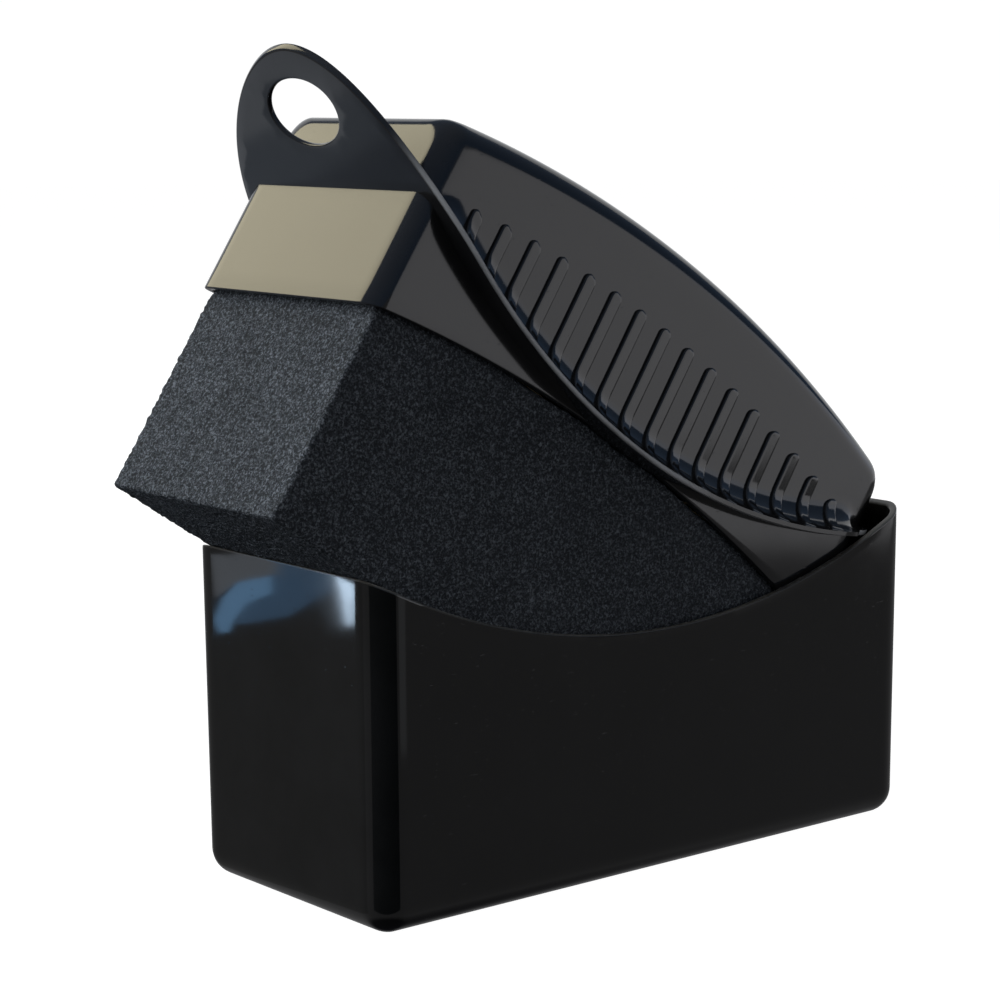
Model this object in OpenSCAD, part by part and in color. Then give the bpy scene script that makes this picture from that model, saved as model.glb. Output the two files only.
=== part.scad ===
// Wiping pad in its storage case: a foam block glued into a hollow grip, parked
// with its nose up on an open case whose long rims dip to receive it.
// Millimetres. The origin is the centre of the case's base, +X runs from the
// hang tab's end towards the back, and +Z is up.

/* [Storage case] */
// Outside length of the case at its rim
case_l = 150; // [130:1:170]
// Outside width of the case at its rim
case_w = 65; // [60:1:80]
// Height of the two end walls
case_h = 72; // [60:1:90]
// Thickness of the side and end walls
case_wall = 1.6; // [1.2:0.1:2.5]
// Thickness of the floor
case_floor = 1.6; // [1.2:0.1:3]
// Radius of the upright corners and of the edge round the base
case_r = 6; // [4:0.1:9]
// How much narrower each face of the case is at its foot than at its rim
case_draft = 0.4; // [0:0.1:1.5]

/* [Grip] */
// Length of the skirt that drops inside the case
skirt_l = 146; // [126:1:146]
// Width of the skirt
skirt_w = 60.2; // [54:0.2:61]
// Radius of the skirt's upright corners
skirt_r = 4; // [2.5:0.1:5]
// Rise of the skirt's lower edge at mid-length
skirt_arch = 7.4; // [3:0.1:8]
// Length of the upper body
body_l = 149.2; // [128:0.2:149.6]
// Width of the upper body
body_w = 56.4; // [50:0.2:58]
// Radius of the upper body's upright corners and long top edges
body_r = 4.8; // [4:0.1:7]
// Radius of the arched back of the grip, seen from the side
crown_r = 290; // [260:1:340]
// Height of the crown above the skirt's lowest edge
crown_h = 51.3; // [44:0.1:56]
// Wall thickness of the moulding
grip_wall = 1.8; // [1.4:0.1:2.4]

/* [Flange and hang tab] */
// Radius of the flange's dip, which the case's rims share
flange_r = 158; // [150:1:175]
// Height of the flange's underside above the skirt's lowest edge, at mid-length
flange_dip = 6.8; // [5:0.1:9]
// Thickness of the flange
flange_t = 1.2; // [1:0.1:2.4]
// Half-width of the flange along its sides
flange_half = 35.5; // [34:0.1:38]
// How far the hang tab reaches past the front of the grip
tab_reach = 25.2; // [22:0.2:30]
// Long axis of the hang hole
hang_w = 22.4; // [14:0.2:24]
// Short axis of the hang hole
hang_h = 14.2; // [8:0.2:15]

/* [Finger ribs] */
// Number of ribs on each side
rib_n = 16; // [10:1:16]
// Distance between ribs
rib_pitch = 8.05; // [6:0.05:8.1]
// Width of a rib
rib_w = 3.4; // [2:0.1:4.5]
// Height of the tallest ribs above the skirt's lowest edge
rib_top = 34.8; // [30:0.1:38]
// How far a rib stands proud of the wall
rib_proud = 0.6; // [0.5:0.1:1.5]

/* [Foam block] */
// Length of the foam
foam_l = 140.4; // [120:0.2:142]
// Width of the foam below the skirt
foam_w = 57; // [50:0.2:58]
// How far the foam hangs below the skirt's lowest edge
foam_drop = 45; // [35:0.5:46]
// How far the foam's flat top stands above the skirt's lowest edge
foam_seat = 6.4; // [4:0.1:6.6]

/* [Parked pose] */
// Tilt of the grip, nose up
park_tilt = 33.4; // [30:0.1:35]
// Position along X of the skirt's lower front edge
park_x = -73.6; // [-75:0.1:-72]
// Height of the skirt's lower front edge
park_z = 125.4; // [125:0.1:127]

/* [Hidden] */
$fn = 96;
// Mid-length of the grip, where the flange dips and the skirt arches
mid = skirt_l / 2;
// The rims and the flange share one radius, so they close on each other
rim_sag = flange_r - sqrt(flange_r * flange_r - case_l * case_l / 4);
rim_mid_z = case_h - rim_sag;
// Centre height of the flange's arc above the skirt's lowest edge
flange_cv = flange_dip + flange_r;
// Surface inside the flange where the skirt and the upper body join
join_r = flange_r - flange_t / 2;
// The skirt's lower edge is an arc through both bottom corners
arch_r = (mid * mid + skirt_arch * skirt_arch) / (2 * skirt_arch);
// Centre height of the crown's arc
crown_cv = crown_h - crown_r;
crown_cu = 73.7;
nose_r = 8;
brow_r = 3;
// Plan of the flange: half an oval round the tab, then sides that close in
tab_c = 15;
// Power of the tab's oval: 2 is an ellipse, less is more pointed
tab_power = 1.9;
flange_end = 150.6;
flange_corner = 6;
flange_taper = 5.2;
flange_steps = 40;
// The flare is the concave run from the wall out onto the flange
flare_r = 6;
hang_u = -14.4;
hang_steps = 60;
rib_first = mid + 2 - rib_pitch * (rib_n - 1) / 2;
// How fast the ribs get shorter away from mid-length, per millimetre squared
rib_fall = 0.0017;
web_n = 5;
web_t = 1.6;
glue_t = 0.8;
glue_w = 6;
glue_edge = 3;
glue_clear = 0.6;
foam_plug_w = skirt_w - 2 * grip_wall - 0.4;
foam_r = 1.5;
foam_u = (skirt_l - foam_l) / 2;
// Half-width of the flange's outline at a distance u from the skirt's front
function flange_side(u) =
    u < tab_c
        ? flange_half * pow(max(0, 1 - pow((tab_c - u) / (tab_c + tab_reach), tab_power)),
            1 / tab_power)
        : flange_half - flange_taper * pow((u - tab_c) / (flange_end - tab_c), 4);
function flange_round(u) =
    let (past = u - (flange_end - flange_corner))
    past > 0 ? flange_corner - sqrt(max(0, flange_corner * flange_corner - past * past)) : 0;
function flange_y(u) = flange_side(u) - flange_round(u);
// Stations along the outline, closer together where it turns
function tab_station(i) = tab_c - (tab_c + tab_reach) * cos(90 * i / flange_steps);
function side_station(i) =
    tab_c + (flange_end - tab_c) * sin(90 * i / flange_steps);
flange_us = concat(
    [for (i = [0 : flange_steps - 1]) tab_station(i)],
    [for (i = [0 : flange_steps]) side_station(i)]
);

// A rectangle with round corners, from x = 0, centred on y
module round_rect(l, w, r) {
    translate([r, -w / 2]) square([l - 2 * r, w]);
    translate([0, r - w / 2]) square([l, w - 2 * r]);
    for (x = [r, l - r], y = [r - w / 2, w / 2 - r])
        translate([x, y]) circle(r);
}

// A tub standing on z = 0, widening by the draft towards its rim, with round
// upright corners and a round edge of the same radius round its flat base
module tub(l, w, h, r) {
    foot_l = l - 2 * (r + case_draft);
    foot_w = w - 2 * (r + case_draft);
    hull() {
        translate([-foot_l / 2, -foot_w / 2, 0]) cube([foot_l, foot_w, 1]);
        for (x = [-1, 1], y = [-1, 1]) {
            translate([x * foot_l / 2, y * foot_w / 2, r]) sphere(r, $fn = 48);
            translate([x * (l / 2 - r), y * (w / 2 - r), h - 1]) cylinder(r = r, h = 1, $fn = 48);
        }
    }
}

// A round bar lying across the grip, used to shape it along arcs
module cross_bar(u, v, r, w = 90) {
    translate([u, w / 2, v]) rotate([90, 0, 0]) cylinder(r = r, h = w, $fn = 360);
}

// A solid swept round the flange's arc from a section drawn in radius and width
module swept_on_flange() {
    translate([mid, 0, flange_cv]) rotate([90, 0, 0]) rotate_extrude($fn = 360) children();
}

// Places the grip's own frame (front of skirt, centre, lowest edge) at its parked pose
module parked() {
    translate([park_x, 0, park_z]) rotate([0, park_tilt, 0]) children();
}

module flange_plan() {
    polygon(concat(
        [for (u = flange_us) [u, -flange_y(u)]],
        [for (i = [len(flange_us) - 1 : -1 : 1]) [flange_us[i], flange_y(flange_us[i])]]
    ));
}

module flange() {
    intersection() {
        translate([0, 0, -1]) linear_extrude(60) flange_plan();
        difference() {
            cross_bar(mid, flange_cv, flange_r);
            cross_bar(mid, flange_cv, flange_r - flange_t, 92);
        }
    }
}

module skirt() {
    difference() {
        linear_extrude(40) round_rect(skirt_l, skirt_w, skirt_r);
        cross_bar(mid, flange_cv, join_r);
        cross_bar(mid, skirt_arch - arch_r, arch_r);
    }
}

// Rounds one end of the crown off with a bar of radius r whose centre is at u
module crown_end(u, r, side) {
    v = crown_cv + sqrt(pow(crown_r - r, 2) - pow(u - crown_cu, 2));
    touch = u + r * (u - crown_cu) / (crown_r - r);
    difference() {
        translate([side > 0 ? touch : touch - 20, -45, v]) cube([20, 90, 30]);
        cross_bar(u, v, r, 92);
    }
}

// The arched crown with round long edges, wall thicknesses in from its outside
module crown(inset) {
    half = body_w / 2 - inset;
    edge = body_r - inset;
    top = crown_r - inset;
    translate([crown_cu, 0, crown_cv]) rotate([90, 0, 0]) rotate_extrude($fn = 360) {
        translate([200, -half]) square([top - edge - 200, 2 * half]);
        translate([200, edge - half]) square([top - 200, 2 * (half - edge)]);
        for (y = [edge - half, half - edge]) translate([top - edge, y]) circle(edge, $fn = 48);
    }
}

module upper_body() {
    difference() {
        intersection() {
            linear_extrude(60) round_rect(body_l, body_w, body_r);
            crown(0);
            cross_bar(mid, flange_cv, join_r);
        }
        crown_end(body_l - nose_r, nose_r, 1);
        crown_end(brow_r, brow_r, -1);
    }
}

// The flare: wall to flange on both sides, everywhere proud of it by the given height
module flare(proud, rise) {
    wall_y = body_w / 2;
    top = flange_r - flange_t;
    for (side = [-1, 1]) swept_on_flange() scale([1, side]) {
        difference() {
            translate([top - flare_r, wall_y - 2]) square([flare_r + 0.5, flare_r + 2]);
            translate([top - flare_r, wall_y + flare_r]) circle(flare_r - proud, $fn = 64);
        }
        translate([top - rise, wall_y - 2]) square([rise, 2 + proud]);
    }
}

// Outlines of the finger ribs seen from the side, longest at mid-length
module rib_outlines() {
    for (i = [0 : rib_n - 1]) {
        u = rib_first + i * rib_pitch;
        flange_v = flange_cv - sqrt(flange_r * flange_r - (u - mid) * (u - mid));
        top_v = rib_top - rib_fall * (u - mid) * (u - mid);
        translate([u - rib_w / 2, flange_v]) square([rib_w, top_v - rib_w / 2 - flange_v]);
        translate([u, top_v - rib_w / 2]) circle(rib_w / 2, $fn = 32);
    }
}

module finger_ribs() {
    intersection() {
        flare(rib_proud, 34);
        translate([0, 45, 0]) rotate([90, 0, 0]) linear_extrude(90) rib_outlines();
        translate([0, 0, -1]) linear_extrude(60) flange_plan();
    }
}

module side_flares() {
    intersection() {
        flare(0, flare_r);
        translate([0, 0, -1]) linear_extrude(60) flange_plan();
        translate([0, -45, -1]) cube([body_l - body_r, 90, 60]);
    }
}

// The hollow inside the skirt and the upper body, open at the bottom
module hollow() {
    skirt_w_in = skirt_w - 2 * grip_wall;
    body_w_in = body_w - 2 * grip_wall;
    difference() {
        translate([grip_wall, 0, -1]) linear_extrude(45)
            round_rect(skirt_l - 2 * grip_wall, skirt_w_in, skirt_r - grip_wall);
        cross_bar(mid, flange_cv, flange_r);
    }
    intersection() {
        translate([grip_wall, 0, -1]) linear_extrude(60)
            round_rect(skirt_l - 2 * grip_wall, body_w_in, body_r - grip_wall);
        crown(grip_wall);
    }
}

// Cross webs inside the hollow that the foam is glued to
module webs() {
    for (i = [1 : web_n]) {
        u = i * skirt_l / (web_n + 1);
        intersection() {
            translate([u - web_t / 2, -body_w / 2, foam_seat + glue_t]) cube([web_t, body_w, 60]);
            crown(grip_wall / 2);
        }
    }
}

// The oval hang hole, square to the tab where it passes through
module hang_hole() {
    slope = asin((hang_u - mid) / flange_r);
    hang_v = flange_cv - sqrt(flange_r * flange_r - (hang_u - mid) * (hang_u - mid));
    turns = [for (i = [0 : hang_steps - 1]) 360 * i / hang_steps];
    translate([hang_u, 0, hang_v]) rotate([0, -slope, 0]) translate([0, 0, -6]) linear_extrude(12)
        polygon([for (a = turns) [hang_h / 2 * cos(a), hang_w / 2 * sin(a)]]);
}

module storage_case() {
    color("#17181a") difference() {
        tub(case_l, case_w, case_h, case_r);
        translate([0, 0, case_floor])
            tub(case_l - 2 * case_wall, case_w - 2 * case_wall, case_h, case_r - case_wall);
        translate([0, case_w, rim_mid_z + flange_r])
            rotate([90, 0, 0]) cylinder(r = flange_r, h = 2 * case_w, $fn = 360);
    }
}

module grip_shell() {
    color("#2a2b2e") parked() difference() {
        union() {
            difference() {
                union() {
                    skirt();
                    upper_body();
                    side_flares();
                    finger_ribs();
                    flange();
                }
                hollow();
            }
            webs();
        }
        hang_hole();
    }
}

module foam_block() {
    color("#3a3f46") parked() translate([foam_u, 0, 0]) {
        intersection() {
            translate([0, 0, -foam_drop]) linear_extrude(foam_drop + foam_seat)
                round_rect(foam_l, foam_w, foam_r);
            cross_bar(mid - foam_u, skirt_arch - arch_r, arch_r - 0.1);
        }
        translate([0, 0, -5]) linear_extrude(5 + foam_seat)
            round_rect(foam_l, foam_plug_w, foam_r);
    }
}

module adhesive() {
    bead_l = foam_l - 2 * glue_clear;
    bead_w = body_w - 2 * grip_wall - 2 * glue_clear;
    color("#cfc7a8") parked() translate([0, 0, foam_seat]) linear_extrude(glue_t) {
        for (i = [1 : web_n])
            translate([i * skirt_l / (web_n + 1) - glue_w / 2, -bead_w / 2]) square([glue_w, bead_w]);
        difference() {
            translate([foam_u + glue_clear, -bead_w / 2]) square([bead_l, bead_w]);
            translate([foam_u + glue_clear + glue_edge, glue_edge - bead_w / 2])
                square([bead_l - 2 * glue_edge, bead_w - 2 * glue_edge]);
        }
    }
}

storage_case();
grip_shell();
foam_block();
adhesive();
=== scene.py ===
import math

import bpy
import numpy as np
from mathutils import Matrix, Vector, geometry, noise


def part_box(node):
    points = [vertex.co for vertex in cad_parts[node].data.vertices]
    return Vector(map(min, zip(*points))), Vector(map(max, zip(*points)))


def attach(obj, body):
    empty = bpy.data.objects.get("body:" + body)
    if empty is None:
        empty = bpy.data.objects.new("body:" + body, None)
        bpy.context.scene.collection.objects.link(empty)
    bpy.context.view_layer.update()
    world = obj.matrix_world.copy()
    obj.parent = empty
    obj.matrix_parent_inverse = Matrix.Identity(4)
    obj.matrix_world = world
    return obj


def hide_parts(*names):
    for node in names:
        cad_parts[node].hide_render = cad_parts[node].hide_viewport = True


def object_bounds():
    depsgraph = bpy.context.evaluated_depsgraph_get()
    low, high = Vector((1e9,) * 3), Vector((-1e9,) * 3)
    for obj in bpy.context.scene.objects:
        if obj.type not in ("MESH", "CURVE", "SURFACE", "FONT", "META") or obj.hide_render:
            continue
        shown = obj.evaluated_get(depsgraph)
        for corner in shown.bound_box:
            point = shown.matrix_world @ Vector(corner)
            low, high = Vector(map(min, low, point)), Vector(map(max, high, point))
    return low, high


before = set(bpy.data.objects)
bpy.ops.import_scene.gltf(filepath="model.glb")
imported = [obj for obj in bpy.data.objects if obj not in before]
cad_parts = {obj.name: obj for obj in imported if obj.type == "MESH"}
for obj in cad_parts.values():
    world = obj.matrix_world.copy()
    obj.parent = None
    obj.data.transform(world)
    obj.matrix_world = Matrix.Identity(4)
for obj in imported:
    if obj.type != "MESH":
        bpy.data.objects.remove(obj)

cad_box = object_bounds()
scene = bpy.context.scene

# Sizes are in millimetres until a piece is made. The grip, its foam and its ribs are drawn in
# the grip's own frame: u runs along it from the front of the skirt, y across it, v up from the
# skirt's lowest edge.
MM = 0.001

# Case: its outside comes from the frame. The walls lean out by the draft and bow in a little.
case_lo, case_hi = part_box("storage_case")
CASE_L = (case_hi.x - case_lo.x) / MM
CASE_W = (case_hi.y - case_lo.y) / MM
CASE_H = (case_hi.z - case_lo.z) / MM
CASE_WALL = 1.6
CASE_R = 6
CASE_EDGE = 0.45
CASE_DRAFT = 0.4
CASE_BOW = 0.2

# Skirt and upper body: the crown is one long arc between a tight brow and a wider nose.
PARK_TILT = math.radians(33.4)
WALL = 1.8
SKIRT_L = 146
SKIRT_W = 60.2
SKIRT_R = 4.0
SKIRT_ARCH = 7.4
SKIRT_EDGE = 0.3
BODY_L = 149.2
BODY_W = 56.4
BODY_R = 4.8
EDGE_SHARE = 0.75
BROW_R = 3
NOSE_R = 8
CROWN_R = 290
CROWN_V = 51.3 - CROWN_R
CROWN_U = 73.7
MID = SKIRT_L / 2
ARCH_R = (MID * MID + SKIRT_ARCH * SKIRT_ARCH) / (2 * SKIRT_ARCH)

# Flange with its tab and hang hole: one plate, curved like the rim of the case.
FLANGE_R = 158
FLANGE_V = 6.8 + FLANGE_R
FLANGE_T = 1.2
FLANGE_EDGE = 0.4
FLANGE_HALF = 35.5
FLANGE_END = 150.6
FLANGE_CORNER = 6
FLANGE_TAPER = 5.2
TAB_REACH = 25.2
TAB_C = 15
TAB_POWER = 1.9
HANG_U = -14.4
HANG_W = 22.4
HANG_H = 14.2
FILL_STEP = 2.5
FILL_MARGIN = 1.2
RIM_R = FLANGE_R

# The painted highlight along the flange's outer edge: its width, and where along the grip it starts
# and is full.
HIGHLIGHT_W = 0.35
HIGHLIGHT_FROM = -12
HIGHLIGHT_RUN = 14

# Flare between wall and flange, smaller at both ends, and the finger ribs that run up it.
FLARE_R = 6.8
FLARE_END_R = 0.6
FLARE_RUN = 9
FLARE_SINK = 0.9
RIB_N = 16
RIB_PITCH = 8.05
RIB_SHIFT = 2
RIB_W = 3.4
RIB_TOP = 34.8
RIB_FALL = 0.0017
RIB_PROUD = 0.7
RIB_SUNK = 0.5
RIB_START = 1.2
RIB_FADE_IN = 1.5
RIB_FADE_OUT = 0.8

# Webs inside the grip, and the foam that is glued to them.
WEB_N = 5
WEB_T = 1.6
GLUE_T = 0.8
FOAM_L = 140.4
FOAM_W = 57
FOAM_DROP = 45
FOAM_SEAT = 6.4
FOAM_R = 0.6
FOAM_PLUG_W = 55.4
FOAM_CELL = 0.95
FOAM_ROUGH = 0.9
FOAM_STEP = 0.5
# The foam's pores are painted dark as shade in the holes, and its cell walls pale as their lit tops.
FOAM_PORE_SHADE = (0.026, 0.0295, 0.035)
FOAM_STRUT_LIT = (0.225, 0.251, 0.288)

# Stage, in metres: the camera's angles round the object, its distance and its aim.
CAMERA_TURN = math.radians(-39.28)
CAMERA_RISE = math.radians(8.84)
CAMERA_ROLL = math.radians(-0.39)
CAMERA_AWAY = 0.5908
CAMERA_AIM = Vector((-0.0008, 0.0078, -0.0105))
CAMERA_LENS = 97.78
WINDOW_AWAY = 0.08
PALE_BLUE = (0.95, 0.98, 1.0)
DUST_COLOUR = (0.10, 0.10, 0.105)


# ---- Camera ----

def make_camera():
    """The viewpoint: in front of the tab's end, a little above the object."""
    aim = (cad_box[0] + cad_box[1]) / 2 + CAMERA_AIM
    back = Vector((
        math.sin(CAMERA_TURN) * math.cos(CAMERA_RISE),
        -math.cos(CAMERA_TURN) * math.cos(CAMERA_RISE),
        math.sin(CAMERA_RISE),
    ))
    level = (-back).cross(Vector((0, 0, 1))).normalized()
    plumb = level.cross(-back)
    right = level * math.cos(CAMERA_ROLL) + plumb * math.sin(CAMERA_ROLL)
    up = plumb * math.cos(CAMERA_ROLL) - level * math.sin(CAMERA_ROLL)
    place = aim + CAMERA_AWAY * back
    data = bpy.data.cameras.new("camera")
    data.sensor_width = 36
    data.lens = CAMERA_LENS
    camera = bpy.data.objects.new("camera", data)
    scene.collection.objects.link(camera)
    camera.matrix_world = Matrix((
        (right.x, up.x, back.x, place.x),
        (right.y, up.y, back.y, place.y),
        (right.z, up.z, back.z, place.z),
        (0, 0, 0, 1),
    ))
    scene.camera = camera


# ---- Meshes ----

def grid_faces(rows, cols, closed=False, start=0):
    """Quads between rows of points, each row cols long; closed joins each row's end to its start."""
    faces = []
    last = cols if closed else cols - 1
    for i in range(rows - 1):
        for j in range(last):
            k = (j + 1) % cols
            a = start + i * cols
            faces.append((a + j, a + k, a + cols + k, a + cols + j))
    return faces


def joined(shells):
    """Several (points, faces) shells as one list of points and one of faces."""
    points = []
    faces = []
    for shell_points, shell_faces in shells:
        start = len(points)
        points.extend(shell_points)
        faces.extend(tuple(i + start for i in face) for face in shell_faces)
    return points, faces


def new_piece(name, points, faces, material, sharp=40, painted_highlight=None):
    """A smooth-shaded piece from millimetre points, with the edges that get a painted highlight
    marked from 0 to 1.
    """
    mesh = bpy.data.meshes.new(name)
    scaled = np.asarray(points, float) * MM
    mesh.from_pydata(scaled.tolist(), [], faces)
    if painted_highlight is not None:
        highlight_colour = mesh.attributes.new("painted_highlight", "FLOAT", "POINT")
        highlight_colour.data.foreach_set("value", np.asarray(painted_highlight, np.float32))
    piece = bpy.data.objects.new(name, mesh)
    scene.collection.objects.link(piece)
    mesh.materials.append(material)
    bpy.context.view_layer.objects.active = piece
    piece.select_set(True)
    bpy.ops.object.mode_set(mode="EDIT")
    bpy.ops.mesh.select_all(action="SELECT")
    bpy.ops.mesh.normals_make_consistent(inside=False)
    bpy.ops.object.mode_set(mode="OBJECT")
    piece.select_set(False)
    mesh.shade_smooth()
    mesh.set_sharp_from_angle(angle=math.radians(sharp))
    return piece


def quarter(steps):
    """Angles from 0 to 90 degrees, both ends included."""
    return [math.pi / 2 * i / steps for i in range(steps + 1)]


def between(a, b, steps):
    """Values from a to b, both ends included."""
    return [a + (b - a) * i / steps for i in range(steps + 1)]


def outline(half_l, half_w, radius, long_steps, short_steps, corner_steps=8):
    """A rectangle centred on the origin, whose corners stand radius outside half_l, half_w."""
    points = []
    corners = [(1, -1, -90), (1, 1, 0), (-1, 1, 90), (-1, -1, 180)]
    for index, (side_x, side_y, start) in enumerate(corners):
        for turn in quarter(corner_steps):
            angle = math.radians(start) + turn
            points.append((
                side_x * half_l + radius * math.cos(angle),
                side_y * half_w + radius * math.sin(angle),
            ))
        end = points[-1]
        next_x, next_y, next_start = corners[(index + 1) % 4]
        goal = (
            next_x * half_l + radius * math.cos(math.radians(next_start)),
            next_y * half_w + radius * math.sin(math.radians(next_start)),
        )
        steps = short_steps if index % 2 == 0 else long_steps
        for i in range(1, steps):
            points.append((
                end[0] + (goal[0] - end[0]) * i / steps,
                end[1] + (goal[1] - end[1]) * i / steps,
            ))
    return points


# ---- Storage case ----

def rim_z(x):
    """Height of the case's rim, which dips along the long sides on one arc."""
    drop = math.sqrt(RIM_R ** 2 - x * x) - math.sqrt(RIM_R ** 2 - CASE_L ** 2 / 4)
    return CASE_H - drop


def case_shell():
    """The tub, from its flat base up the outside, over the rim and down the inside."""
    foot_x = CASE_L / 2 - CASE_R - CASE_DRAFT
    foot_y = CASE_W / 2 - CASE_R - CASE_DRAFT
    inner_r = CASE_R - CASE_WALL
    rows = []

    def case_outline(spread, radius):
        return outline(foot_x + spread, foot_y + spread, radius, 90, 40)

    def row(radius, height):
        rows.append([(x, y, height) for x, y in case_outline(0, radius)])

    def rim_row(radius, height):
        rows.append([(x, y, rim_z(x) + height) for x, y in case_outline(CASE_DRAFT, radius)])

    def wall_row(radius, share, base):
        ring = []
        for x, y in case_outline(0, radius):
            z = base + (rim_z(x) - CASE_EDGE - base) * share
            spread = CASE_DRAFT * (z - CASE_R) / (CASE_H - CASE_R)
            x += math.copysign(spread, x)
            y += math.copysign(spread, y)
            high = min(1, max(0, (z - CASE_R) / CASE_H))
            bow = CASE_BOW * high * math.sin(math.pi * high)
            if abs(y) > foot_y + radius - 0.5:
                y -= math.copysign(bow * math.cos(math.pi * x / CASE_L), y)
            if abs(x) > foot_x + radius - 0.5:
                x -= math.copysign(bow * math.cos(math.pi * y / CASE_W), x)
            ring.append((x, y, z))
        rows.append(ring)

    for turn in quarter(10):
        row(CASE_R * math.sin(turn), CASE_R * (1 - math.cos(turn)))
    for share in between(0, 1, 30)[1:]:
        wall_row(CASE_R, share, CASE_R)
    for turn in quarter(4)[1:]:
        rim_row(CASE_R - CASE_EDGE * (1 - math.cos(turn)), CASE_EDGE * (math.sin(turn) - 1))
    for turn in reversed(quarter(4)):
        rim_row(inner_r + CASE_EDGE * (1 - math.cos(turn)), CASE_EDGE * (math.sin(turn) - 1))
    for share in reversed(between(0, 1, 30)[:-1]):
        wall_row(inner_r, share, CASE_WALL + inner_r)
    for turn in reversed(quarter(8)[:-1]):
        row(inner_r * math.sin(turn), CASE_WALL + inner_r * (1 - math.cos(turn)))
    cols = len(rows[0])
    points = [point for ring in rows for point in ring]
    faces = grid_faces(len(rows), cols, closed=True)
    faces.append(tuple(range(cols)))
    faces.append(tuple(range(len(points) - cols, len(points))))
    return points, faces


# ---- Grip ----

def arc_v(u, radius):
    """Height at u, a number or an array, of an arc round the flange's centre."""
    return FLANGE_V - np.sqrt(radius * radius - (u - MID) ** 2)


def arch_v(u):
    """Height at u, a number or an array, of the skirt's arched lower edge."""
    return SKIRT_ARCH - ARCH_R + np.sqrt(ARCH_R ** 2 - (u - MID) ** 2)


def crown_v(u, start, end, inset):
    """Height of the arched back, rounded off at its brow and its nose."""
    reach = CROWN_R - inset
    brow_u = start + BROW_R - inset
    nose_u = BODY_L - NOSE_R
    for centre, radius, side in ((brow_u, BROW_R - inset, -1), (nose_u, end - nose_u, 1)):
        touch = centre + radius * (centre - CROWN_U) / (reach - radius)
        if side * (u - touch) > 0:
            height = CROWN_V + math.sqrt((reach - radius) ** 2 - (centre - CROWN_U) ** 2)
            return height + math.sqrt(max(0, radius ** 2 - (u - centre) ** 2))
    return CROWN_V + math.sqrt(reach ** 2 - (u - CROWN_U) ** 2)


def ease(value):
    """Smooth step from 0 to 1, for a number or an array."""
    value = np.clip(value, 0, 1)
    return value * value * (3 - 2 * value)


def body_section(u, start, end, inset, foot_r, flared):
    """One cross-section of the upper body, from its near foot over the crown to the far foot."""
    corner = BODY_R - inset
    near = min(u - start, end - u)
    half = BODY_W / 2 - inset
    if near < corner:
        half += math.sqrt(max(0, corner ** 2 - (corner - near) ** 2)) - corner
    top = crown_v(u, start, end, inset)
    flare = 0.0
    sink = 0.0
    if flared:
        flare = FLARE_END_R + (FLARE_R - FLARE_END_R) * ease((near - 1) / FLARE_RUN)
        sink = FLARE_SINK
    wall_foot = arc_v(u, foot_r - flare)
    edge = min(corner, EDGE_SHARE * (top - wall_foot))
    side = [(half + flare, arc_v(u, foot_r + sink))]
    for turn in reversed(quarter(8)):
        side.append((
            half + flare * (1 - math.cos(turn)),
            arc_v(u, foot_r - flare * (1 - math.sin(turn))),
        ))
    for share in between(0, 1, 10)[1:]:
        side.append((half, wall_foot + (top - edge - wall_foot) * share))
    for turn in quarter(10)[1:]:
        side.append((half - edge * (1 - math.cos(turn)), top - edge * (1 - math.sin(turn))))
    for share in between(1, 0, 5)[1:]:
        side.append(((half - edge) * share, top))
    near_side = [(u, -y, v) for y, v in side]
    far_side = [(u, y, v) for y, v in reversed(side[:-1])]
    return near_side + far_side


def body_stations(start, end, front_r, back_r):
    """Places along the body, closer together where its ends are round."""
    front = [start + front_r * (1 - math.cos(turn)) for turn in quarter(10)]
    back = [end - back_r * (1 - math.cos(turn)) for turn in reversed(quarter(12))]
    return front + between(front[-1], back[0], 60)[1:-1] + back


def body_shell():
    """The hollow upper body with its flares, closed round its foot."""
    top_r = FLANGE_R - FLANGE_T
    outer_us = body_stations(0, BODY_L, BODY_R, NOSE_R)
    inner_end = SKIRT_L - WALL
    inner_us = body_stations(WALL, inner_end, BODY_R - WALL, inner_end - BODY_L + NOSE_R)
    outer = [body_section(u, 0, BODY_L, 0, top_r, True) for u in outer_us]
    inner = [body_section(u, WALL, inner_end, WALL, FLANGE_R, False) for u in inner_us]
    rows, cols = len(outer), len(outer[0])
    points = [p for ring in outer for p in ring] + [p for ring in inner for p in ring]
    half = rows * cols
    faces = grid_faces(rows, cols) + grid_faces(rows, cols, start=half)
    for first in (0, half - cols, half, 2 * half - cols):
        faces.append(tuple(range(first, first + cols)))
    for i in range(rows - 1):
        for edge in (0, cols - 1):
            a = i * cols + edge
            faces.append((a, a + cols, a + cols + half, a + half))
    for first in (0, half - cols):
        last = first + cols - 1
        faces.append((first, last, last + half, first + half))
    return points, faces


def web_shell(number):
    """One cross web inside the hollow, which the foam is glued to."""
    centre = number * SKIRT_L / (WEB_N + 1)
    foot_v = FOAM_SEAT + GLUE_T
    points = []
    for u in (centre - WEB_T / 2, centre + WEB_T / 2):
        ring = body_section(u, 0, BODY_L, WALL / 2, FLANGE_R - FLANGE_T, False)
        ring[0] = (u, ring[1][1], foot_v)
        ring[-1] = (u, ring[-2][1], foot_v)
        points.extend(ring)
    cols = len(points) // 2
    faces = grid_faces(2, cols, closed=True)
    faces.append(tuple(range(cols)))
    faces.append(tuple(range(cols, 2 * cols)))
    return points, faces


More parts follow.
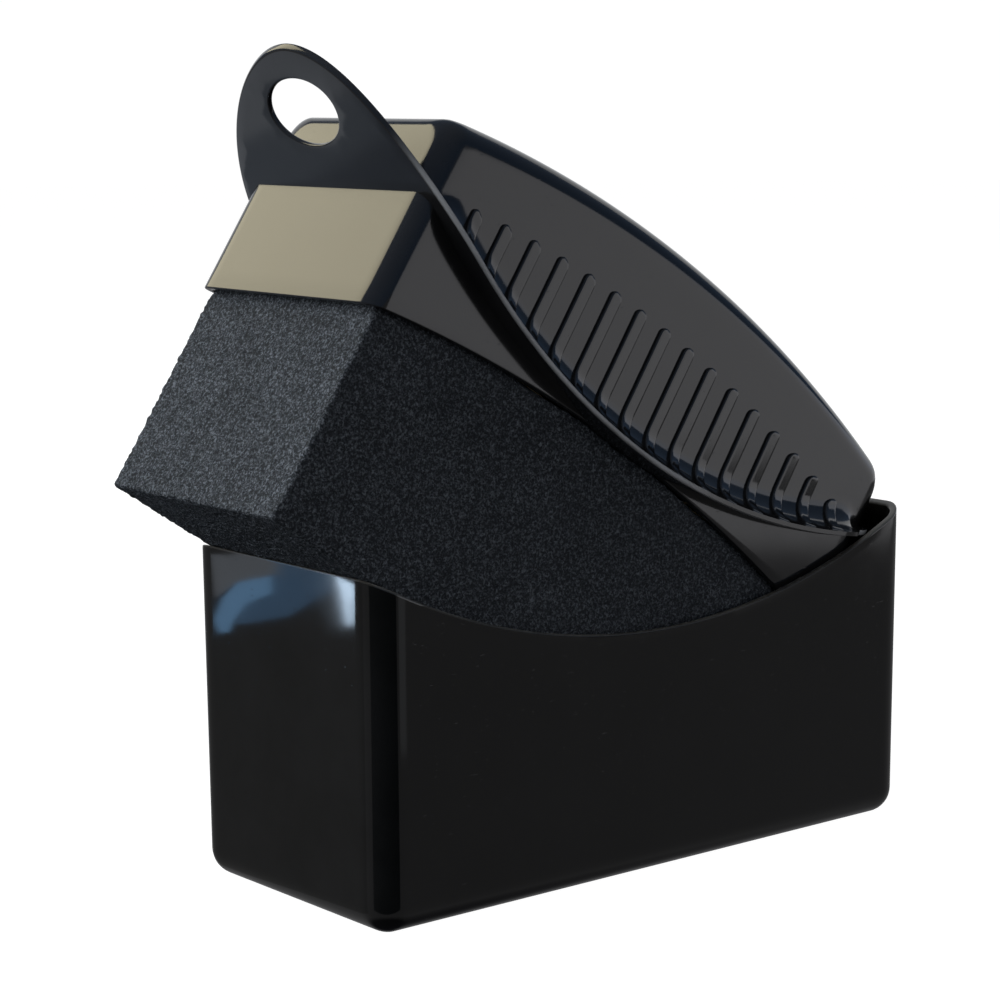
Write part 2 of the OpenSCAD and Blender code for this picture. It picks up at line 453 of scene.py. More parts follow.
def skirt_shell():
    """The skirt below the flange, a ring whose lower edge is arched and slightly rounded."""
    inner_r = SKIRT_R - WALL
    foot = (SKIRT_L / 2 - SKIRT_R, SKIRT_W / 2 - SKIRT_R)
    rows = []

    def row(radius, share, lift):
        ring = []
        for x, y in outline(*foot, radius, 80, 30):
            u = x + MID
            high = arc_v(u, FLANGE_R - FLANGE_T / 2)
            low = min(arch_v(u), high - 0.2)
            ring.append((u, y, low + lift + (high - low - SKIRT_EDGE) * share))
        rows.append(ring)

    for share in reversed(between(0, 1, 6)):
        row(SKIRT_R, share, SKIRT_EDGE)
    for turn in quarter(4)[1:]:
        row(SKIRT_R - SKIRT_EDGE * (1 - math.cos(turn)), 0, SKIRT_EDGE * (1 - math.sin(turn)))
    for turn in reversed(quarter(4)[1:]):
        row(inner_r + SKIRT_EDGE * (1 - math.cos(turn)), 0, SKIRT_EDGE * (1 - math.sin(turn)))
    for share in between(0, 1, 6):
        row(inner_r, share, SKIRT_EDGE)
    cols = len(rows[0])
    points = [point for ring in rows for point in ring]
    faces = grid_faces(len(rows), cols, closed=True)
    last = len(points) - cols
    for j in range(cols):
        k = (j + 1) % cols
        faces.append((j, k, last + k, last + j))
    return points, faces


def flange_y(u):
    """Half-width of the flange: half an oval round the tab, then sides that close in."""
    if u < TAB_C:
        share = max(0, 1 - ((TAB_C - u) / (TAB_C + TAB_REACH)) ** TAB_POWER)
        return FLANGE_HALF * share ** (1 / TAB_POWER)
    half = FLANGE_HALF - FLANGE_TAPER * ((u - TAB_C) / (FLANGE_END - TAB_C)) ** 4
    past = u - (FLANGE_END - FLANGE_CORNER)
    if past > 0:
        half -= FLANGE_CORNER - math.sqrt(max(0, FLANGE_CORNER ** 2 - past ** 2))
    return half


def flange_outline():
    """Plan of the flange, anticlockwise from the tip of the tab."""
    us = [TAB_C - (TAB_C + TAB_REACH) * math.cos(turn) for turn in quarter(60)]
    us += [TAB_C + (FLANGE_END - TAB_C) * math.sin(turn) for turn in quarter(70)[1:]]
    near = [(u, -flange_y(u)) for u in us]
    across = [(FLANGE_END, y) for y in between(near[-1][1], -near[-1][1], 16)[1:-1]]
    far = [(u, -y) for u, y in reversed(near[1:])]
    return near + across + far


def flange_highlight(u, y, v):
    """How much painted highlight a point of the grip gets, from 0 to 1: only the flange's outer edge
    gets it.
    """
    above = v - arc_v(u, FLANGE_R)
    if u < 0.5 - TAB_REACH or not -0.1 <= above <= FLANGE_T + 0.1:
        return 0.0
    near_edge = 1 - abs(abs(y) - flange_y(u)) / HIGHLIGHT_W
    return max(0.0, near_edge) * ease((u - HIGHLIGHT_FROM) / HIGHLIGHT_RUN)


def hang_outline(height):
    """Plan of the oval hang hole at a height in the tab's thickness, cut square to the tab."""
    slope = math.asin((HANG_U - MID) / FLANGE_R)
    points = []
    for turn in between(0, 2 * math.pi, 72)[:-1]:
        angle = slope + HANG_H / 2 * math.cos(turn) / FLANGE_R
        across = HANG_W / 2 * math.sin(turn)
        points.append((MID + (FLANGE_R - height) * math.sin(angle), across))
    return points


def opening_outline():
    """Plan of the opening inside the walls of the grip."""
    half_l = SKIRT_L / 2 - WALL - BODY_R
    half_w = BODY_W / 2 - WALL - BODY_R
    return [(x + MID, y) for x, y in outline(half_l, half_w, BODY_R, 60, 24)]


def inset(loop, distance):
    """A closed loop moved to its left by a distance."""
    ring = np.asarray(loop, float)
    along = np.roll(ring, -1, 0) - np.roll(ring, 1, 0)
    along /= np.linalg.norm(along, axis=1)[:, None]
    return ring + distance * np.stack([-along[:, 1], along[:, 0]], 1)


def inside(points, loop):
    """Which of the points lie inside a closed loop."""
    ring = np.asarray(loop, float)
    after = np.roll(ring, -1, 0)
    x, y = points[:, 0, None], points[:, 1, None]
    spans = (ring[:, 1] > y) != (after[:, 1] > y)
    height = after[:, 1] - ring[:, 1]
    height[height == 0] = 1e-12
    crossing = ring[:, 0] + (y - ring[:, 1]) * (after[:, 0] - ring[:, 0]) / height
    return (spans & (x < crossing)).sum(1) % 2 == 1


def filled(border, holes):
    """Points and triangles that fill a border round its holes, with the loops' points first."""
    loops = [border, *holes]
    points = np.concatenate(loops)
    edges = []
    start = 0
    for loop in loops:
        edges += [(start + i, start + (i + 1) % len(loop)) for i in range(len(loop))]
        start += len(loop)
    reach_y = FLANGE_HALF - 0.5
    lattice = np.array([
        (u, y)
        for u in np.arange(FILL_MARGIN - TAB_REACH, FLANGE_END, FILL_STEP)
        for y in np.arange(-reach_y, reach_y + FILL_STEP / 2, FILL_STEP)
    ])
    keep = inside(lattice, inset(border, FILL_MARGIN))
    for hole in holes:
        keep &= ~inside(lattice, inset(hole, -FILL_MARGIN))
    points = np.concatenate([points, lattice[keep]])
    found = geometry.delaunay_2d_cdt([Vector(p) for p in points], edges, [], 0, 1e-6)
    made = np.array([tuple(p) for p in found[0]])
    triangles = np.array(found[2])
    middles = made[triangles].mean(1)
    solid = inside(middles, border)
    for hole in holes:
        solid &= ~inside(middles, hole)
    return made, triangles[solid]


def flange_shell():
    """The flange and its tab: one curved plate with rounded edges, a hang hole and an opening."""
    lower = [
        (FLANGE_EDGE * (1 - math.sin(turn)), FLANGE_EDGE * (1 - math.cos(turn)))
        for turn in quarter(4)
    ]
    upper = [
        (FLANGE_EDGE * (1 - math.cos(turn)), FLANGE_T - FLANGE_EDGE * (1 - math.sin(turn)))
        for turn in quarter(4)
    ]
    profile = lower + upper
    plan = flange_outline()
    points = []
    faces = []

    def add_ring(ring, height):
        start = len(points)
        points.extend((u, y, arc_v(u, FLANGE_R - height)) for u, y in ring)
        return start

    def wall(rings):
        starts = [add_ring(ring, height) for ring, height in rings]
        count = len(rings[0][0])
        for low, high in zip(starts, starts[1:]):
            for j in range(count):
                k = (j + 1) % count
                faces.append((low + j, low + k, high + k, high + j))

    outside = [(inset(plan, shift), height) for shift, height in profile]
    hole = [(inset(hang_outline(height), -shift), height) for shift, height in profile]
    opening = [(np.array(opening_outline()), height) for height in (0, FLANGE_T)]
    for rings in (outside, hole, opening):
        wall(rings)
    for end in (0, -1):
        border, height = outside[end]
        made, triangles = filled(border, [hole[end][0], opening[end][0]])
        start = add_ring(made, height)
        faces.extend(tuple(int(i) + start for i in triangle) for triangle in triangles)
    return points, faces


def merged(points, faces, tolerance=1e-4):
    """Points that coincide become one, and faces that lose their area go."""
    keys = np.round(np.asarray(points, float) / tolerance).astype(np.int64)
    first, index = np.unique(keys, axis=0, return_index=True, return_inverse=True)[1:]
    index = index.reshape(-1)
    kept = []
    for face in faces:
        mapped = []
        for i in face:
            j = int(index[i])
            if j not in mapped:
                mapped.append(j)
        if len(mapped) > 2:
            kept.append(tuple(mapped))
    return [tuple(points[i]) for i in first], kept


def rib_path(centre, length, lift):
    """Place across and above the foot, a length up the flare and the wall, lifted off them."""
    foot_r = FLANGE_R - FLANGE_T
    quarter_run = FLARE_R * math.pi / 2
    if length < quarter_run:
        turn = math.pi / 2 - length / FLARE_R
        y = BODY_W / 2 + FLARE_R - (FLARE_R - lift) * math.cos(turn)
        return y, arc_v(centre, foot_r - FLARE_R + (FLARE_R - lift) * math.sin(turn))
    return BODY_W / 2 + lift, arc_v(centre, foot_r - FLARE_R) + length - quarter_run


def rib_section(half, proud):
    """Across a rib: a steep front, a top that falls a little and a low round back."""
    front_w = half * 0.2
    back_w = half * 0.4
    back_proud = proud * 0.65
    section = [(-half, -RIB_SUNK)]
    for turn in quarter(5):
        rise = 0.35 + 0.65 * math.sin(turn)
        section.append((front_w * (1 - math.cos(turn)) - half, proud * rise))
    for part in between(0, 1, 4)[1:]:
        section.append((
            front_w - half + (2 * half - front_w - back_w) * part,
            proud + (back_proud - proud) * part,
        ))
    for turn in quarter(5)[1:]:
        section.append((half - back_w * (1 - math.sin(turn)), back_proud * math.cos(turn)))
    section.append((half, -RIB_SUNK))
    return section


def rib_height(length, total):
    """How far a rib stands out at a length along it: it fades in and out at its ends."""
    proud = RIB_PROUD
    for near, reach in ((length - RIB_START, RIB_FADE_IN), (total - length, RIB_FADE_OUT)):
        if near < reach:
            proud *= math.sqrt(max(0.02, 1 - (1 - near / reach) ** 2))
    return proud


def rib_shell(number, side):
    """One finger rib, from the flare up the wall to a round top."""
    centre = MID + RIB_SHIFT + RIB_PITCH * (number - (RIB_N - 1) / 2)
    top_v = RIB_TOP - RIB_FALL * (centre - MID) ** 2
    total = 2.0
    while rib_path(centre, total, 0)[1] < top_v:
        total += 0.05
    half_w = RIB_W / 2
    ends = [RIB_START + RIB_FADE_IN * (1 - math.cos(turn)) for turn in quarter(6)]
    tops = [total - half_w * (1 - math.sin(turn)) for turn in quarter(10)]
    lengths = ends + between(ends[-1], tops[0], 40)[1:-1] + tops
    points = []
    for length in lengths:
        from_top = total - length
        half = half_w
        if from_top < half:
            half = math.sqrt(max(0.0025, half ** 2 - (half - from_top) ** 2))
        section = rib_section(half, rib_height(length, total))
        for x, lift in section:
            y, v = rib_path(centre + x, length, lift)
            points.append((centre + x, side * y, v))
    cols = len(section)
    rows = len(lengths)
    faces = grid_faces(rows, cols, closed=True)
    faces.append(tuple(range(cols)))
    faces.append(tuple(range((rows - 1) * cols, rows * cols)))
    return points, faces


def grip_points(points):
    """Turns grip-frame points to the parked tilt."""
    local = np.asarray(points, float)
    turned = np.empty_like(local)
    turned[:, 0] = local[:, 0] * math.cos(PARK_TILT) + local[:, 2] * math.sin(PARK_TILT)
    turned[:, 1] = local[:, 1]
    turned[:, 2] = local[:, 2] * math.cos(PARK_TILT) - local[:, 0] * math.sin(PARK_TILT)
    return turned


def grip_shells():
    """Every shell of the one-piece grip moulding."""
    shells = [body_shell(), skirt_shell(), merged(*flange_shell())]
    shells += [web_shell(number) for number in range(1, WEB_N + 1)]
    shells += [rib_shell(number, side) for side in (-1, 1) for number in range(RIB_N)]
    return joined(shells)


# ---- Foam ----

def box_grid(low, high, step):
    """The six faces of a box as one welded grid of quads."""
    points = []
    faces = []
    for axis in range(3):
        first, second = [i for i in range(3) if i != axis]
        counts = [max(2, round((high[i] - low[i]) / step) + 1) for i in (first, second)]
        for value in (low[axis], high[axis]):
            start = len(points)
            for a in np.linspace(low[first], high[first], counts[0]):
                for b in np.linspace(low[second], high[second], counts[1]):
                    point = [0.0, 0.0, 0.0]
                    point[axis] = value
                    point[first] = a
                    point[second] = b
                    points.append(tuple(point))
            faces += grid_faces(counts[0], counts[1], start=start)
    return merged(points, faces)


def cell_relief(point):
    """How far the foam's surface stands out at a point, from its cells and two noises."""
    spot = Vector(point) / FOAM_CELL
    coarse = noise.noise(spot * 0.9)
    fine = noise.noise(spot * 2.1 + Vector((7, 3, 5)))
    cell = min(noise.voronoi(spot * 0.8)[0][0], 0.9)
    return 0.28 * coarse + 0.22 * fine + 0.3 * cell - 0.14


def foam_shell():
    """The foam block: soft edges, narrower inside the skirt, with an open-cell surface."""
    low = np.array([0.0, -FOAM_W / 2, -FOAM_DROP])
    high = np.array([FOAM_L, FOAM_W / 2, FOAM_SEAT])
    points, faces = box_grid(low, high, FOAM_STEP)
    place = np.asarray(points)
    core = np.clip(place, low + FOAM_R, high - FOAM_R)
    outward = place - core
    normal = outward / np.linalg.norm(outward, axis=1)[:, None]
    place = core + normal * FOAM_R
    place[:, 0] += (SKIRT_L - FOAM_L) / 2

    # The long edges of the top rise with the arched skirt, but stay below the flange.
    arch = arch_v(place[:, 0])
    below_flange = arc_v(place[:, 0], FLANGE_R)
    tuck = ease((place[:, 2] - arch + 1.0) / 0.8)
    lip = ease((np.abs(place[:, 1]) - 26) / 1.5) * ease((place[:, 2] - 3) / 3)
    place[:, 2] += lip * np.maximum(0, np.minimum(arch, below_flange) - FOAM_SEAT)
    place[:, 1] *= 1 - tuck * (1 - FOAM_PLUG_W / FOAM_W)

    relief = np.array([cell_relief(point) for point in place])
    relief *= 1 - 0.8 * tuck
    place += normal * (relief * FOAM_ROUGH)[:, None]
    return place, faces


# ---- Materials ----

def new_material(name):
    """An empty Principled material and short ways to add nodes and links."""
    material = bpy.data.materials.new(name)
    material.use_nodes = True
    tree = material.node_tree
    shader = tree.nodes["Principled BSDF"]

    def add(kind, **values):
        node = tree.nodes.new(kind)
        for key, value in values.items():
            setattr(node, key, value)
        return node

    return material, shader, add, tree.links.new


def noise_node(add, link, place, scale, detail=4.0, rough=0.6):
    """A noise texture in the object's own coordinates, in metres."""
    node = add("ShaderNodeTexNoise")
    node.inputs["Scale"].default_value = scale
    node.inputs["Detail"].default_value = detail
    node.inputs["Roughness"].default_value = rough
    link(place, node.inputs["Vector"])
    return node.outputs["Fac"]


def map_range(add, link, value, low, high, out_low, out_high):
    """Maps a node's output from one range onto another."""
    node = add("ShaderNodeMapRange")
    node.inputs["From Min"].default_value = low
    node.inputs["From Max"].default_value = high
    node.inputs["To Min"].default_value = out_low
    node.inputs["To Max"].default_value = out_high
    link(value, node.inputs["Value"])
    return node.outputs["Result"]


def mixed_colour(add, link, factor, first, second):
    """A mix of two colours by a factor."""
    node = add("ShaderNodeMix", data_type="RGBA")
    node.inputs["A"].default_value = (*first, 1)
    node.inputs["B"].default_value = (*second, 1)
    link(factor, node.inputs["Factor"])
    return node.outputs["Result"]


def overlaid(add, link, ground, colour, factor):
    """A colour laid over another by a factor."""
    node = add("ShaderNodeMix", data_type="RGBA")
    node.inputs["B"].default_value = (*colour, 1)
    link(ground, node.inputs["A"])
    link(factor, node.inputs["Factor"])
    return node.outputs["Result"]


def combined(add, link, operation, first, second):
    """Two node outputs added or multiplied."""
    node = add("ShaderNodeMath", operation=operation)
    link(first, node.inputs[0])
    link(second, node.inputs[1])
    return node.outputs["Value"]


def bumped(add, link, shader, height, strength, distance):
    """Relief on a shader from a node's output, with its distance in metres."""
    relief = add("ShaderNodeBump")
    relief.inputs["Strength"].default_value = strength
    relief.inputs["Distance"].default_value = distance
    link(height, relief.inputs["Height"])
    link(relief.outputs["Normal"], shader.inputs["Normal"])


def dust_specks(add, link, place):
    """Where dust lies: small round specks, on a few cells of a fine pattern."""
    cells = add("ShaderNodeTexVoronoi", feature="F1")
    cells.inputs["Scale"].default_value = 260
    link(place, cells.inputs["Vector"])
    speck = map_range(add, link, cells.outputs["Distance"], 0.06, 0.10, 1, 0)
    chance = map_range(add, link, cells.outputs["Color"], 0.90, 0.93, 0, 1)
    return combined(add, link, "MULTIPLY", speck, chance)


def hairlines(add, link, place):
    """Where fine scratches run: one long noise, cut off near its top."""
    stretch = add("ShaderNodeMapping")
    stretch.inputs["Scale"].default_value = (1, 1, 7)
    stretch.inputs["Rotation"].default_value = (0.5, 0.3, 0.8)
    link(place, stretch.inputs["Vector"])
    hair = noise_node(add, link, stretch.outputs["Vector"], 420, 3)
    return map_range(add, link, hair, 0.70, 0.79, 0, 1)


def plastic(name, dark, light, rough_low, rough_high, ior, scratch, highlight_colour):
    """Moulded black plastic: faint mottling, smears, hairline scratches, dust, and a painted
    highlight on marked edges.
    """
    material, shader, add, link = new_material(name)
    place = add("ShaderNodeTexCoord").outputs["Object"]
    mottle = noise_node(add, link, place, 60, 5)
    smear = noise_node(add, link, place, 26, 6, 0.7)
    shade = map_range(add, link, mottle, 0.35, 0.65, 0, 1)
    ground = mixed_colour(add, link, shade, dark, light)
    dusty = overlaid(add, link, ground, DUST_COLOUR, dust_specks(add, link, place))
    # A pale colour is painted on the marked edges as a highlight, patchy along them, and those edges
    # are made rougher.
    painted_highlight = add("ShaderNodeAttribute", attribute_name="painted_highlight")
    patchy = map_range(add, link, smear, 0.35, 0.6, 0.35, 1.0)
    edge = combined(add, link, "MULTIPLY", painted_highlight.outputs["Fac"], patchy)
    link(overlaid(add, link, dusty, highlight_colour, edge), shader.inputs["Base Color"])
    smooth_rough = map_range(add, link, smear, 0.3, 0.7, rough_low, rough_high)
    edge_rough = map_range(add, link, edge, 0, 1, 0, 0.35)
    rough = combined(add, link, "ADD", edge_rough, smooth_rough)
    link(rough, shader.inputs["Roughness"])
    bumped(add, link, shader, hairlines(add, link, place), scratch, 0.00004)
    shader.inputs["IOR"].default_value = ior
    return material


def foam_material():
    """Charcoal open-cell foam: pores painted dark as shade, cell walls painted pale as lit, and slow
    changes of tone.
    """
    material, shader, add, link = new_material("foam_charcoal")
    place = add("ShaderNodeTexCoord").outputs["Object"]
    coarse = noise_node(add, link, place, 1150, 2, 0.7)
    grain = noise_node(add, link, place, 2300, 1, 0.7)
    tone = noise_node(add, link, place, 90, 4)
    clumps = map_range(add, link, coarse, 0.36, 0.66, 0, 1)
    spots = map_range(add, link, grain, 0.36, 0.66, 0, 1)
    # Where the cell walls are painted lit; elsewhere the pores are painted in shade.
    lit = combined(add, link, "MULTIPLY", clumps, spots)
    ground = mixed_colour(add, link, lit, FOAM_PORE_SHADE, FOAM_STRUT_LIT)
    tint = add("ShaderNodeVectorMath", operation="SCALE")
    link(ground, tint.inputs[0])
    link(map_range(add, link, tone, 0.3, 0.7, 0.85, 1.12), tint.inputs["Scale"])
    link(tint.outputs["Vector"], shader.inputs["Base Color"])
    height = combined(add, link, "ADD", clumps, spots)
    bumped(add, link, shader, height, 0.8, 0.0003)
    dull = map_range(add, link, grain, 0.3, 0.7, 0.75, 1.0)
    link(dull, shader.inputs["Roughness"])
    shader.inputs["Specular IOR Level"].default_value = 0.25
    return material


def melt_material():
    """Cured hot-melt glue: milky amber with a waxy surface."""
    material, shader, add, link = new_material("hot_melt")
    place = add("ShaderNodeTexCoord").outputs["Object"]
    cloud = noise_node(add, link, place, 180, 4)
    shade = map_range(add, link, cloud, 0.3, 0.7, 0, 1)
    colour = mixed_colour(add, link, shade, (0.52, 0.44, 0.26), (0.70, 0.63, 0.44))
    link(colour, shader.inputs["Base Color"])
    rough = map_range(add, link, cloud, 0.3, 0.7, 0.3, 0.5)
    link(rough, shader.inputs["Roughness"])
    bumped(add, link, shader, cloud, 0.5, 0.0003)
    shader.inputs["Subsurface Weight"].default_value = 0.3
    shader.inputs["Subsurface Radius"].default_value = (0.002, 0.0015, 0.0008)
    return material


# ---- Stage ----

def glow(name, colour, strength, diffuse=0.0):
    """A stage material that shines evenly, with some diffuse share so that shadows show."""
    material = bpy.data.materials.new(name)
    material.use_nodes = True
    tree = material.node_tree
    shader = tree.nodes["Principled BSDF"]
    shader.inputs["Base Color"].default_value = (diffuse, diffuse, diffuse, 1)
    shader.inputs["Specular IOR Level"].default_value = 0
    shader.inputs["Roughness"].default_value = 1
    shader.inputs["Emission Color"].default_value = (*colour, 1)
    shader.inputs["Emission Strength"].default_value = strength
    return material


def stage_mesh(name, points, faces, material):
    """A mesh in metres that belongs to the stage and not to the object."""
    mesh = bpy.data.meshes.new(name)
    mesh.from_pydata(points, [], faces)
    mesh.materials.append(material)
    board = bpy.data.objects.new(name, mesh)
    scene.collection.objects.link(board)
    return board


def only_seen_by(thing, camera=False, glossy=False):
    """Sets which rays meet a stage object."""
    thing.visible_camera = camera
    thing.visible_glossy = glossy
    thing.visible_diffuse = False
    thing.visible_transmission = False
    thing.visible_volume_scatter = False
    thing.visible_shadow = False


def make_floor():
    """A pale floor that gloss and diffuse light don't meet, so that it colours nothing."""
    reach = 4.0
    corners = [(-reach, -reach, 0), (reach, -reach, 0), (reach, reach, 0), (-reach, reach, 0)]
    floor = stage_mesh("floor", corners, [(0, 1, 2, 3)], glow("floor", (1, 1, 1), 1.0, 0.25))
    floor.visible_glossy = False
    floor.visible_diffuse = False


def make_dome():
    """A pale shell round the stage that only the camera sees."""
    radius = 3.9
    rings, turns = 24, 48
    points = []
    for i in range(rings + 1):
        rise = math.pi * i / rings
        for j in range(turns):
            turn = 2 * math.pi * j / turns
            points.append((
                radius * math.sin(rise) * math.cos(turn),
                radius * math.sin(rise) * math.sin(turn),
                radius * math.cos(rise),
            ))
    faces = grid_faces(rings + 1, turns, closed=True)
    dome = stage_mesh("dome", points, faces, glow("dome", (1, 1, 1), 1.02))
    only_seen_by(dome, camera=True)


def panel(name, place, aim, width, height, colour, radiance, glossy=True, diffuse=True):
    """A rectangular soft light that looks the given radiance bright from in front."""
    data = bpy.data.lights.new(name, "AREA")
    data.shape = "RECTANGLE"
    data.size = width
    data.size_y = height
    data.color = colour
    data.energy = radiance * math.pi * width * height
    light = bpy.data.objects.new(name, data)
    scene.collection.objects.link(light)
    light.location = place
    light.rotation_mode = "QUATERNION"
    light.rotation_quaternion = (Vector(aim) - Vector(place)).to_track_quat("-Z", "Y")
    light.visible_camera = False
    light.visible_glossy = glossy
    light.visible_diffuse = diffuse


def card(name, points, colour, radiance):
    """A flat glowing card, placed in metres, that only the gloss shows."""
    board = stage_mesh(name, points, [tuple(range(len(points)))], glow(name, colour, radiance))
    only_seen_by(board, glossy=True)


def upright_card(name, foot, sideways, corners, colour, radiance):
    """A card on an upright plane, from places sideways of its foot and above the floor."""
    points = [tuple(foot + sideways * a + Vector((0, 0, z))) for a, z in corners]
    card(name, points, colour, radiance)


def floor_card(name, x_span, y_span, colour, radiance):
    """A card that lies just above the floor."""
    corners = [(x_span[0], y_span[0]), (x_span[1], y_span[0]),
               (x_span[1], y_span[1]), (x_span[0], y_span[1])]
    card(name, [(x, y, 0.001) for x, y in corners], colour, radiance)


def window_card(name, corners, nearer, colour, radiance):
    """A card in front of the case's end, from places in mm, a little nearer than the screen."""
    facing = Vector((-0.57, 0.822, 0)).normalized()
    sideways = Vector((facing.y, -facing.x, 0))
    foot = Vector((case_lo.x, 0, 0)) + facing * (WINDOW_AWAY - nearer)
    upright_card(name, foot, sideways, [(a * MM, z * MM) for a, z in corners], colour, radiance)


def make_world():
    """A dim room: what the gloss shows where no panel or card stands, by height."""
    world = bpy.data.worlds.new("room")
    world.use_nodes = True
    scene.world = world
    tree = world.node_tree
    background = tree.nodes["Background"]
    place = tree.nodes.new("ShaderNodeTexCoord")
    split = tree.nodes.new("ShaderNodeSeparateXYZ")
    ramp = tree.nodes.new("ShaderNodeValToRGB")
    span = tree.nodes.new("ShaderNodeMapRange")
    span.inputs["From Min"].default_value = -1
    span.inputs["From Max"].default_value = 1
    tree.links.new(place.outputs["Generated"], split.inputs["Vector"])
    tree.links.new(split.outputs["Z"], span.inputs["Value"])
    tree.links.new(span.outputs["Result"], ramp.inputs["Fac"])
    tree.links.new(ramp.outputs["Color"], background.inputs["Color"])
    stops = ramp.color_ramp.elements
    stops[0].position = 0.08
    stops[0].color = (0.02, 0.02, 0.025, 1)
    stops[1].position = 1.0
    stops[1].color = (0.16, 0.20, 0.27, 1)
    for height, colour in ((0.16, (0.20, 0.20, 0.205)), (0.50, (0.20, 0.20, 0.205)),
                           (0.55, (0.085, 0.145, 0.25))):
        stops.new(height).color = (*colour, 1)
    background.inputs["Strength"].default_value = 1.0
    world.cycles_visibility.diffuse = False


def make_panels():
    """Soft lights: some light the surfaces, and the others are only mirrored in the gloss."""
    centre = (cad_box[0] + cad_box[1]) / 2
    grip_front = Vector((-0.06, 0, 0.13))
    mirrored_up = Vector((-0.388, 0.765, 0.514))
    panel("warm_panel", grip_front + mirrored_up * 0.75, grip_front, 0.42, 0.42,
          (1.0, 0.90, 0.62), 3.95, diffuse=False)
    panel("key", centre + Vector((-0.85, 0.30, 0.55)), centre, 0.9, 0.9,
          PALE_BLUE, 3.2, glossy=False)
    panel("top", centre + Vector((0, 0, 1.3)), centre, 1.2, 1.2,
          PALE_BLUE, 0.9, glossy=False)
    panel("fill", centre + Vector((-0.3, -1.0, 0.25)), centre, 0.8, 0.6,
          (0.97, 0.98, 1.0), 0.9, glossy=False)

    mirrored = Vector((0.626, -0.765, 0)).normalized()
    beside = Vector((0.765, 0.626, 0)).normalized()
    aim = Vector((0.0, -0.03, 0.08)) + beside * 0.33
    ridge = Vector((0, 0, 0.07))
    panel("side_card", aim + mirrored * 0.40, aim, 1.04, 0.16,
          (1.0, 1.0, 1.04), 1.0, diffuse=False)
    panel("side_ridge", aim + mirrored * 0.40 + ridge, aim + ridge, 1.04, 0.03,
          (1.0, 1.0, 1.05), 0.9, diffuse=False)

    corner = Vector((case_lo.x + 0.005, case_lo.y, 0.01))
    strip = corner + Vector((0.47, -0.88, 0)) * 0.2
    panel("corner_strip", strip, corner, 0.05, 0.05, (0.9, 0.95, 1.0), 0.22, diffuse=False)
    low_place = Vector((centre.x - 0.55, -0.10, 0.05))
    panel("low_fill", low_place, centre, 0.6, 0.08, PALE_BLUE, 2.2, glossy=False)


def make_floor_cards():
    """The pale ground that the tab's underside mirrors, brighter farther away."""
    floor_card("floor_near", (-0.30, -0.06), (0.14, 0.24), (0.72, 0.86, 1.10), 0.20)
    floor_card("floor_mid", (-0.36, -0.06), (0.24, 0.31), (0.78, 0.90, 1.08), 0.36)
    floor_card("floor_far", (-0.42, -0.10), (0.31, 0.60), (0.86, 0.93, 1.04), 0.62)


def make_window_cards():
    """The dim wall and the curtained window in it that the case's end mirrors."""
    window_card("screen", [(-60, -60), (60, -60), (60, 66), (-60, 66)], 0.0, (1, 1, 1), 0.13)
    window_card("window", [(14.5, 41), (15.5, 44), (13.5, 49), (10, 52.5), (2.5, 53.5),
                           (2.5, 49.5), (8, 47.5), (11, 43.5), (12, 41)],
                0.001, (0.30, 0.60, 1.0), 2.8)
    window_card("window_dim", [(3, 53.8), (-11, 54.2), (-11, 49.8), (-7, 47.5), (-1, 44),
                               (8, 42.8), (11, 42.8), (8, 47.5), (3, 49.5)],
                0.0008, (0.26, 0.50, 0.85), 1.3)
    window_card("window_sill", [(16, 60), (12, 59), (-17, 54.8), (-17, 54), (-11, 53.8),
                                (10, 52.5), (15, 49)],
                0.0006, (0.75, 0.82, 0.92), 1.0)
    window_card("window_pane", [(-12, 54), (-17, 53), (-15.2, 41.5), (-13.6, 41.5)],
                0.0012, (0.62, 0.80, 1.0), 15)


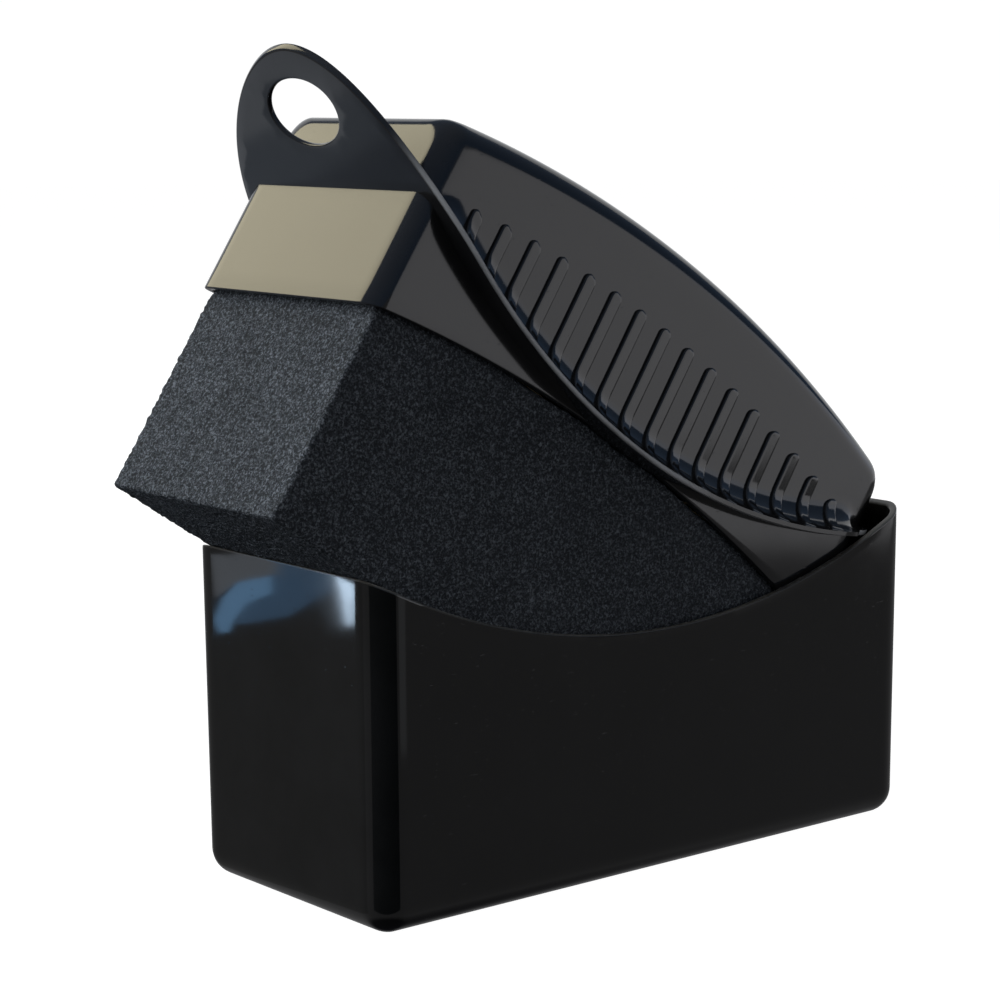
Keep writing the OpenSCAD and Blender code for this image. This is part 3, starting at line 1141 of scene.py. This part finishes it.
def make_upright_cards():
    """A dark card that the case's corner mirrors, and a pale one that edges mirror at a glance."""
    to_camera = Vector((-0.626, -0.765, 0))
    rightward = Vector((0.765, -0.626, 0))
    foot = Vector((case_lo.x, case_lo.y, 0)) + to_camera * 0.3
    upright_card("dark_card", foot, rightward,
                 [(-0.40, -0.2), (0.40, -0.2), (0.40, 0.085), (-0.40, 0.085)],
                 (0.5, 0.8, 1.0), 0.02)
    upright_card("backdrop", to_camera * -0.4, rightward,
                 [(-0.5, 0.005), (0.5, 0.005), (0.5, 0.5), (-0.5, 0.5)],
                 (0.95, 0.97, 1.0), 0.9)


# ---- Build ----

make_camera()
make_world()
make_floor()
make_dome()
make_panels()
make_floor_cards()
make_window_cards()
make_upright_cards()

# The last colour of each plastic is its painted highlight: a beige line on the case's rim and a pale
# grey line on the grip's flange edge.
case_plastic = plastic(
    "case_plastic", (0.0055, 0.0055, 0.0055), (0.0085, 0.0085, 0.0088), 0.05, 0.12, 1.45, 0.35,
    (0.16, 0.15, 0.135))
grip_plastic = plastic(
    "grip_plastic", (0.010, 0.010, 0.011), (0.014, 0.014, 0.015), 0.08, 0.15, 1.47, 0.25,
    (0.42, 0.43, 0.45))

case_points, case_faces = case_shell()
# Painted highlight: the case's rim, within half a millimetre of its top, is marked for it.
case_rim_highlight = [max(0, 1 - abs(z - rim_z(x)) / 0.5) for x, y, z in case_points]
case_piece = new_piece("case_tub", case_points, case_faces, case_plastic, painted_highlight=case_rim_highlight)
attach(case_piece, "case")
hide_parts("storage_case")

local_points, grip_faces = grip_shells()
turned = grip_points(local_points)
grip_lo, grip_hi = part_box("grip_shell")
grip_middle = np.array((grip_lo + grip_hi) / 2) / MM
shift = grip_middle - (turned.min(0) + turned.max(0)) / 2
shift[1] = 0
# Painted highlight: only the flange's outer edge is marked for it.
flange_edge_highlight = [flange_highlight(*point) for point in local_points]
grip_piece = new_piece(
    "grip_moulding", turned + shift, grip_faces, grip_plastic, painted_highlight=flange_edge_highlight)
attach(grip_piece, "pad")
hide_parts("grip_shell")

foam_place, foam_faces = foam_shell()
foam_piece = new_piece("foam_pad", grip_points(foam_place) + shift, foam_faces, foam_material(), 180)
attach(foam_piece, "pad")
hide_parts("foam_block")

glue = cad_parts["adhesive"]
glue.data.materials.clear()
glue.data.materials.append(melt_material())

scene.view_settings.view_transform = "Standard"
